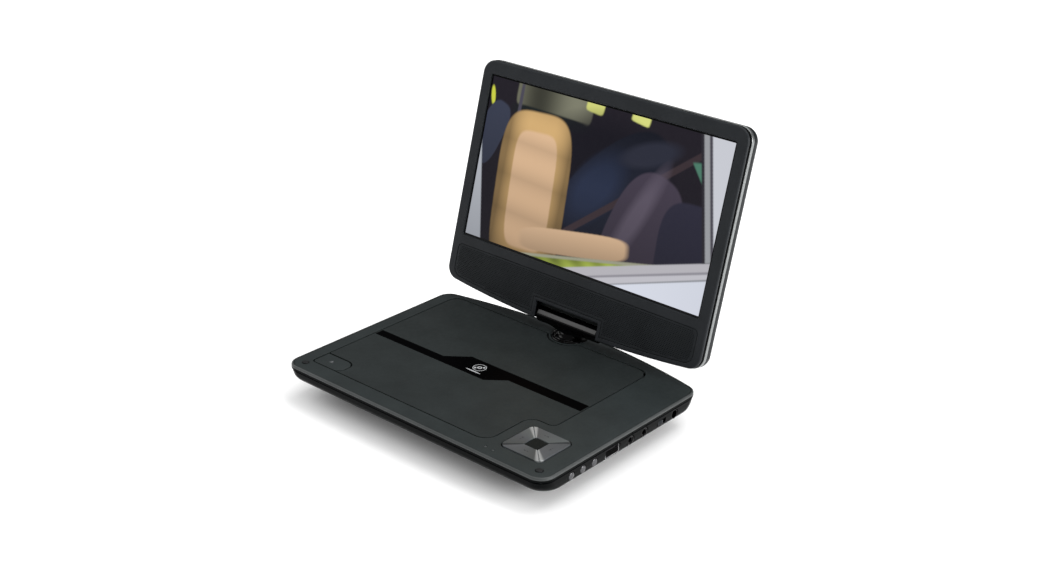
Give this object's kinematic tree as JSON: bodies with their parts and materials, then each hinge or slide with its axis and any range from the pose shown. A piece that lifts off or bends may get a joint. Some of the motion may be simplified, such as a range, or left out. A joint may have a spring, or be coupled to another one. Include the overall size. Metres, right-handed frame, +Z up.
{
  "type": "portable disc player",
  "caption": "Portable disc player with a lid screen that swivels and tilts, a hinged disc door, a direction pad, side keys and sockets along one wall.",
  "frame": {"origin": "middle of the bounding box's underside, on the plane the feet stand on", "axes": "+X across the player to its socket side, +Y from the front edge to the hinge side, +Z up"},
  "size_m": [0.2158, 0.201, 0.1874],
  "materials": {
    "case_black": "satin black moulding",
    "wall_black": "smooth black moulding",
    "gloss_black": "piano black",
    "lid_black": "fine textured black moulding",
    "grille_cloth": "finely perforated",
    "key_metal": "dark metallic paint",
    "silver_key": "bright plated",
    "steel": "plain",
    "zinc": "cast",
    "rubber": "matt",
    "deck_black": "matt",
    "board": "solder resist",
    "cell_wrap": "wrapped cells",
    "hub": "moulded, with a felt-like friction ring",
    "screen": "clear cover over a lit picture",
    "panel": "pressed tray and glass",
    "light_pipe": "translucent",
    "lens": "coated, clear"
  },
  "bodies": {
    "base": {"lower_case": "wall_black", "upper_case": "case_black", "drive_deck": "deck_black", "bay_floor": "deck_black", "foot_front_left": "rubber", "foot_front_right": "rubber", "foot_rear_left": "rubber", "foot_rear_right": "rubber", "bumper_left": "rubber", "bumper_right": "rubber", "indicator_power": "light_pipe", "indicator_charge": "light_pipe", "usb_socket": "steel", "headphone_jack": "silver_key", "video_jack": "silver_key", "supply_jack": "gloss_black", "main_board": "board", "battery_pack": "cell_wrap", "drive_chassis": "steel", "spindle_motor": "zinc", "guide_rod_front": "steel", "guide_rod_rear": "steel", "sled_motor": "zinc", "case_screw_front_left": "steel", "case_screw_front_right": "steel", "case_screw_rear_left": "steel", "case_screw_rear_right": "steel", "swivel_seat": "steel"},
    "door": {"disc_door": "case_black", "door_stripe": "gloss_black"},
    "open_key": {"open_button": "case_black"},
    "pad_up": {"pad_key_up": "key_metal"},
    "pad_down": {"pad_key_down": "key_metal"},
    "pad_left": {"pad_key_left": "key_metal"},
    "pad_right": {"pad_key_right": "key_metal"},
    "pad_centre": {"pad_key_centre": "case_black"},
    "side_front": {"side_button_front": "silver_key"},
    "side_middle": {"side_button_middle": "silver_key"},
    "side_rear": {"side_button_rear": "silver_key"},
    "switch": {"power_switch": "wall_black"},
    "spindle": {"turntable": "hub"},
    "sled": {"laser_sled": "zinc"},
    "lens": {"lens_holder": "deck_black", "objective_lens": "lens"},
    "screw": {"lead_screw": "steel"},
    "swivel": {"turret": "wall_black", "swivel_shaft": "steel"},
    "lid": {"front_frame": "lid_black", "lid_trim_band": "gloss_black", "rear_cover": "case_black", "lcd_panel": "panel", "screen_glass": "screen", "speaker_grille": "grille_cloth", "speaker_left": "deck_black", "speaker_right": "deck_black", "display_board": "board", "hinge_arm_left": "steel", "hinge_arm_right": "steel", "lid_screw_left": "steel", "lid_screw_right": "steel"}
  },
  "joints": [
    {"name": "lid_swivel", "type": "hinge", "parent": "base", "child": "swivel", "pos_m": [0, 0.05654, 0.024], "axis": [0, 0, 1], "range_deg": [0, 180]},
    {"name": "lid_tilt", "type": "hinge", "parent": "swivel", "child": "lid", "pos_m": [0, 0.05654, 0.0325], "axis": [1, 0, 0], "range_deg": [-76.07, 103.93]},
    {"name": "door_hinge", "type": "hinge", "parent": "base", "child": "door", "pos_m": [0, 0.0485, 0.0228], "axis": [-1, 0, 0], "range_deg": [0, 50]},
    {"name": "open_key_press", "type": "slide", "parent": "base", "child": "open_key", "axis": [0, 0, -1], "range_m": [0, 0.001], "stiffness_N_per_m": 600, "springref_m": -0.0015},
    {"name": "pad_up_press", "type": "slide", "parent": "base", "child": "pad_up", "axis": [0, 0, -1], "range_m": [0, 0.0006], "stiffness_N_per_m": 500, "springref_m": -0.001},
    {"name": "pad_down_press", "type": "slide", "parent": "base", "child": "pad_down", "axis": [0, 0, -1], "range_m": [0, 0.0006], "stiffness_N_per_m": 500, "springref_m": -0.001},
    {"name": "pad_left_press", "type": "slide", "parent": "base", "child": "pad_left", "axis": [0, 0, -1], "range_m": [0, 0.0006], "stiffness_N_per_m": 500, "springref_m": -0.001},
    {"name": "pad_right_press", "type": "slide", "parent": "base", "child": "pad_right", "axis": [0, 0, -1], "range_m": [0, 0.0006], "stiffness_N_per_m": 500, "springref_m": -0.001},
    {"name": "pad_centre_press", "type": "slide", "parent": "base", "child": "pad_centre", "axis": [0, 0, -1], "range_m": [0, 0.0006], "stiffness_N_per_m": 500, "springref_m": -0.001},
    {"name": "side_front_press", "type": "slide", "parent": "base", "child": "side_front", "axis": [-1, 0, 0], "range_m": [0, 0.0007], "stiffness_N_per_m": 500, "springref_m": -0.001},
    {"name": "side_middle_press", "type": "slide", "parent": "base", "child": "side_middle", "axis": [-1, 0, 0], "range_m": [0, 0.0007], "stiffness_N_per_m": 500, "springref_m": -0.001},
    {"name": "side_rear_press", "type": "slide", "parent": "base", "child": "side_rear", "axis": [-1, 0, 0], "range_m": [0, 0.0007], "stiffness_N_per_m": 500, "springref_m": -0.001},
    {"name": "power_switch_slide", "type": "slide", "parent": "base", "child": "switch", "axis": [0, 1, 0], "range_m": [0, 0.003]},
    {"name": "turntable_spin", "type": "hinge", "parent": "base", "child": "spindle", "pos_m": [-0.013, -0.0215, 0.016], "axis": [0, 0, 1], "continuous": true},
    {"name": "sled_travel", "type": "slide", "parent": "base", "child": "sled", "axis": [1, 0, 0], "range_m": [0, 0.031]},
    {"name": "lens_focus", "type": "slide", "parent": "sled", "child": "lens", "axis": [0, 0, 1], "range_m": [-0.0004, 0.0004], "stiffness_N_per_m": 120},
    {"name": "lead_screw_turn", "type": "hinge", "parent": "base", "child": "screw", "pos_m": [0, -0.002, 0.0116], "axis": [1, 0, 0], "range_deg": [-2, 2000]}
  ],
  "couplings": [
    {"joint": "lead_screw_turn", "follows": "sled_travel", "rad_per_m": 1122}
  ]
}
